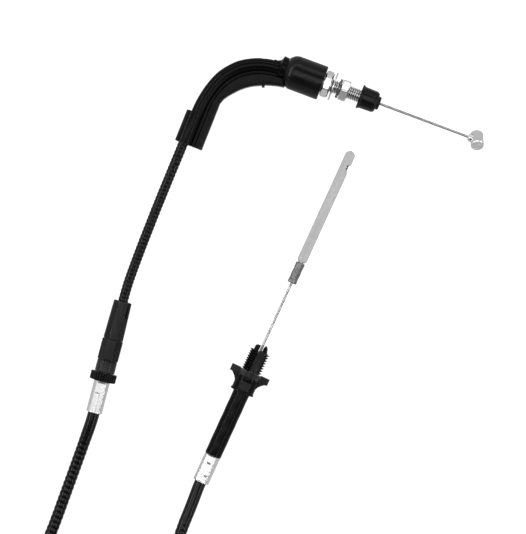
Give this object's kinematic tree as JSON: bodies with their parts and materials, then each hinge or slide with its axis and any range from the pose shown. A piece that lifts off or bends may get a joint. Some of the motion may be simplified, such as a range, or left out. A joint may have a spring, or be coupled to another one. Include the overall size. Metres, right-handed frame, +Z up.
{
  "type": "throttle cable",
  "caption": "Motorcycle throttle cable: elbow guide with threaded adjuster and barrel nipple, in-line adjuster, coiled sheath, snap fitting and flat pull rod.",
  "frame": {"origin": "middle of the underside of everything but the free sheaths and their coil, on the surface that the cable lies on", "axes": "+Z up from the surface; +Y from the coil towards the two ends, along the cable's longest extent; +X towards the barrel nipple"},
  "size_m": [0.274, 0.3687, 0.0205],
  "materials": {
    "moulded_black": "satin moulded nylon",
    "boot_rubber": "satin rubber",
    "zinc_plate": "bright zinc plate",
    "dark_steel": "dull plated steel",
    "strand_steel": "galvanised strand",
    "grey_moulding": "matt moulded plastic",
    "sheath_jacket": "satin extruded jacket",
    "rod_grey": "matt cast",
    "liner_white": "smooth extruded liner",
    "tie_black": "satin strap"
  },
  "bodies": {
    "root": {"elbow_guide": "moulded_black", "snap_fitting": "moulded_black", "guide_sleeve": "moulded_black", "boot": "boot_rubber", "adjuster_body": "zinc_plate", "ferrule_a": "zinc_plate", "ferrule_b": "zinc_plate", "elbow_ferrule": "dark_steel", "barrel_ferrule": "dark_steel", "adjuster_stud": "dark_steel", "elbow_wire": "strand_steel", "adjuster_wire": "strand_steel", "upper_sheath": "sheath_jacket", "main_sheath_a": "sheath_jacket", "main_sheath_coil": "sheath_jacket", "main_sheath_b": "sheath_jacket", "elbow_liner": "liner_white", "guide_tube": "liner_white", "coil_tie_1": "tie_black", "coil_tie_2": "tie_black"},
    "throttle_pull": {"nipple": "zinc_plate", "handlebar_wire": "strand_steel"},
    "rod_pull": {"carburettor_wire": "strand_steel", "rod_ferrule": "dark_steel", "pull_rod": "rod_grey"},
    "clamp_washer": {"lock_washer": "dark_steel"},
    "clamp_nut": {"jam_nut": "zinc_plate"},
    "loose_washer": {"flat_washer": "zinc_plate"},
    "cap": {"dust_cap": "boot_rubber"},
    "barrel": {"adjuster_sleeve": "grey_moulding", "adjuster_barrel": "grey_moulding"},
    "ring": {"lock_ring": "grey_moulding"},
    "left_prong": {"prong_left": "moulded_black"},
    "right_prong": {"prong_right": "moulded_black"}
  },
  "joints": [
    {"name": "throttle_slide", "type": "slide", "parent": "root", "child": "throttle_pull", "axis": [0.9367, -0.3502, 0], "range_m": [-0.016, 0.034]},
    {"name": "rod_slide", "type": "slide", "parent": "root", "child": "rod_pull", "axis": [0.4163, 0.9092, 0], "range_m": [-0.034, 0.016]},
    {"name": "nut_advance", "type": "slide", "parent": "root", "child": "clamp_washer", "axis": [0.9367, -0.3502, 0], "range_m": [-0.00105, 0.0063]},
    {"name": "nut_turn", "type": "hinge", "parent": "clamp_washer", "child": "clamp_nut", "pos_m": [0.02875, 0.10677, 0.01025], "axis": [0.9367, -0.3502, 0], "range_deg": [-300, 1800]},
    {"name": "washer_slide", "type": "slide", "parent": "root", "child": "loose_washer", "axis": [0.9367, -0.3502, 0], "range_m": [0, 0.0009]},
    {"name": "cap_slide", "type": "slide", "parent": "root", "child": "cap", "axis": [0.9367, -0.3502, 0], "range_m": [0, 0.03]},
    {"name": "barrel_turn", "type": "hinge", "parent": "root", "child": "barrel", "pos_m": [-0.09465, -0.01868, 0.0077], "axis": [-0.2529, -0.9675, 0], "range_deg": [-90, 90]},
    {"name": "ring_turn", "type": "hinge", "parent": "root", "child": "ring", "pos_m": [-0.09465, -0.01868, 0.0077], "axis": [-0.2529, -0.9675, 0], "range_deg": [0, 90]},
    {"name": "left_prong_flex", "type": "hinge", "parent": "root", "child": "left_prong", "pos_m": [-0.02287, -0.05826, 0.0072], "axis": [0, 0, -1], "range_deg": [0, 3], "stiffness_Nm_per_rad": 0.5},
    {"name": "right_prong_flex", "type": "hinge", "parent": "root", "child": "right_prong", "pos_m": [-0.0165, -0.06118, 0.0072], "axis": [0, 0, 1], "range_deg": [0, 3], "stiffness_Nm_per_rad": 0.5}
  ],
  "couplings": [
    {"joint": "rod_slide", "follows": "throttle_slide", "ratio": -1},
    {"joint": "nut_advance", "follows": "nut_turn", "m_per_rad": 0.00019894}
  ]
}
